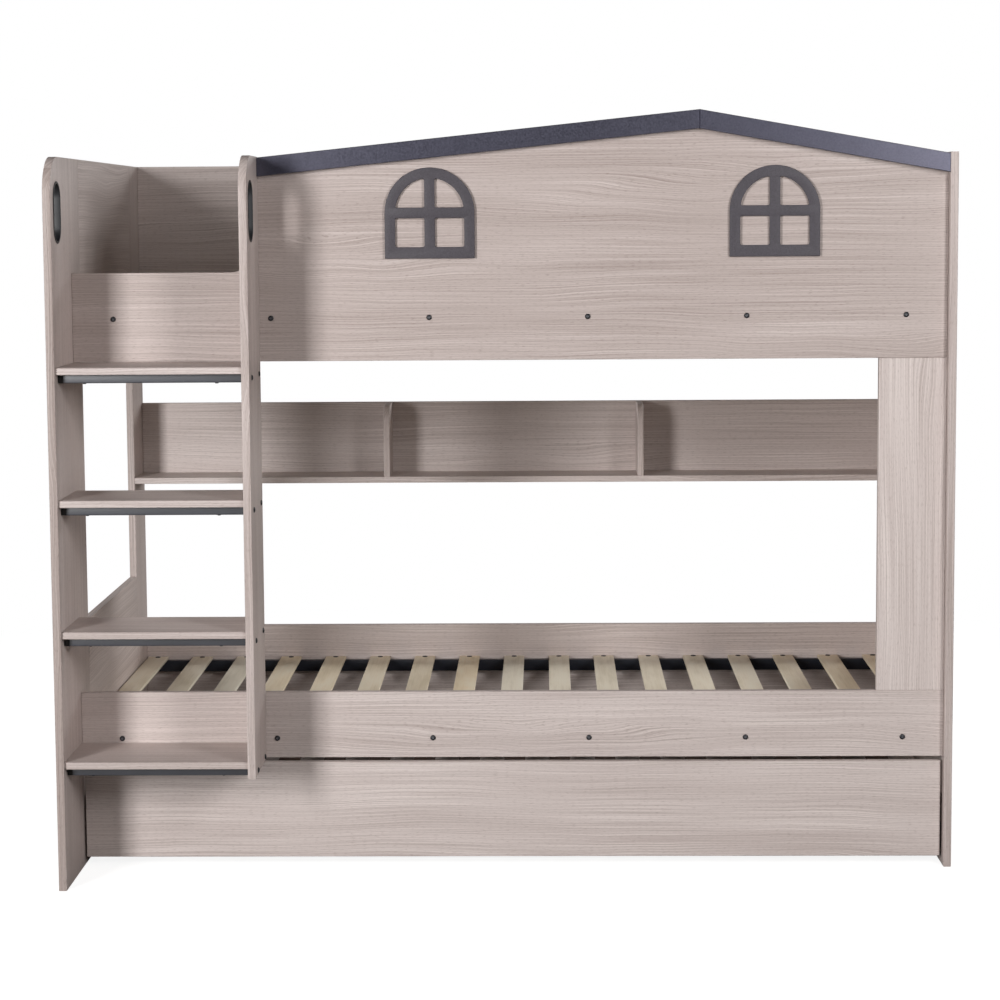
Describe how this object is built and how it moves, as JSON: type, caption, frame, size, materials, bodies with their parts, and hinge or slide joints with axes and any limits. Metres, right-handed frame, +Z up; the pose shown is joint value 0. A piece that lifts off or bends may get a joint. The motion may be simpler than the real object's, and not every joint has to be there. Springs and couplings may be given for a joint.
{
  "type": "bunk bed with trundle",
  "caption": "Panel-built bunk bed with a house-gable guard, end ladder with hand grips, rear shelf, slatted bases and a trundle box that rolls out to the front.",
  "frame": {"origin": "middle of the footprint's bounding box, on the floor", "axes": "+X along the bed, from the ladder end to the plain end; +Y from the front to the wall side; +Z up. The trundle rolls out towards -Y."},
  "size_m": [2.0494, 1.1644, 1.7535],
  "materials": {
    "board_light": "light ash-oak grain foil on chipboard, satin",
    "board_dark": "dark grey textured foil, matt",
    "slat_wood": "bare birch ply, sanded",
    "bar_steel": "dark grey powder coat, satin",
    "black_lining": "glossy black moulding",
    "castor_plastic": "black moulding",
    "axle_steel": "plain steel pin"
  },
  "bodies": {
    "frame": {"left_front_board": "board_light", "rear_left_post": "board_light", "left_upper_end_panel": "board_light", "left_lower_end_panel": "board_light", "right_end_panel": "board_light", "front_guard": "board_light", "roof_trim_left": "board_dark", "roof_trim_right": "board_dark", "window_frame_left": "board_dark", "window_frame_right": "board_dark", "right_front_post": "board_light", "front_rail": "board_light", "rear_guard": "board_light", "rear_rail": "board_light", "shelf_back": "board_light", "shelf_bottom": "board_light", "shelf_divider_left": "board_light", "shelf_divider_right": "board_light", "ladder_stile_right": "board_light", "left_grip_lining": "black_lining", "right_grip_lining": "black_lining", "step_1": "board_light", "step_1_front_tube": "bar_steel", "step_1_rear_tube": "bar_steel", "step_2": "board_light", "step_2_front_tube": "bar_steel", "step_2_rear_tube": "bar_steel", "step_3": "board_light", "step_3_front_tube": "bar_steel", "step_3_rear_tube": "bar_steel", "step_4": "board_light", "step_4_front_tube": "bar_steel", "step_4_rear_tube": "bar_steel", "lower_front_bearer": "bar_steel", "lower_slats_on_rear_bearer": "slat_wood", "upper_front_bearer": "bar_steel", "upper_slats_on_rear_bearer": "slat_wood"},
    "trundle": {"trundle_front": "board_light", "trundle_rear": "board_light", "trundle_left_side": "board_light", "trundle_right_side": "board_light", "trundle_front_bearer": "bar_steel", "trundle_slats_on_rear_bearer": "slat_wood", "wheel_housing_front_left": "castor_plastic", "wheel_axle_front_left": "axle_steel", "wheel_housing_rear_left": "castor_plastic", "wheel_axle_rear_left": "axle_steel", "wheel_housing_front_right": "castor_plastic", "wheel_axle_front_right": "axle_steel", "wheel_housing_rear_right": "castor_plastic", "wheel_axle_rear_right": "axle_steel"},
    "wheel_front_left": {"wheel_front_left": "castor_plastic"},
    "wheel_rear_left": {"wheel_rear_left": "castor_plastic"},
    "wheel_front_right": {"wheel_front_right": "castor_plastic"},
    "wheel_rear_right": {"wheel_rear_right": "castor_plastic"}
  },
  "joints": [
    {"name": "trundle_slide", "type": "slide", "parent": "frame", "child": "trundle", "axis": [0, -1, 0], "range_m": [0, 0.92]},
    {"name": "wheel_front_left_spin", "type": "hinge", "parent": "trundle", "child": "wheel_front_left", "pos_m": [-0.96295, -0.26725, 0.025], "axis": [1, 0, 0], "range_deg": [-5, 2115]},
    {"name": "wheel_rear_left_spin", "type": "hinge", "parent": "trundle", "child": "wheel_rear_left", "pos_m": [-0.96295, 0.47275, 0.025], "axis": [1, 0, 0], "range_deg": [-5, 2115]},
    {"name": "wheel_front_right_spin", "type": "hinge", "parent": "trundle", "child": "wheel_front_right", "pos_m": [0.96645, -0.26725, 0.025], "axis": [1, 0, 0], "range_deg": [-5, 2115]},
    {"name": "wheel_rear_right_spin", "type": "hinge", "parent": "trundle", "child": "wheel_rear_right", "pos_m": [0.96645, 0.47275, 0.025], "axis": [1, 0, 0], "range_deg": [-5, 2115]}
  ],
  "couplings": [
    {"joint": "wheel_front_left_spin", "follows": "trundle_slide", "rad_per_m": 40},
    {"joint": "wheel_rear_left_spin", "follows": "trundle_slide", "rad_per_m": 40},
    {"joint": "wheel_front_right_spin", "follows": "trundle_slide", "rad_per_m": 40},
    {"joint": "wheel_rear_right_spin", "follows": "trundle_slide", "rad_per_m": 40}
  ]
}
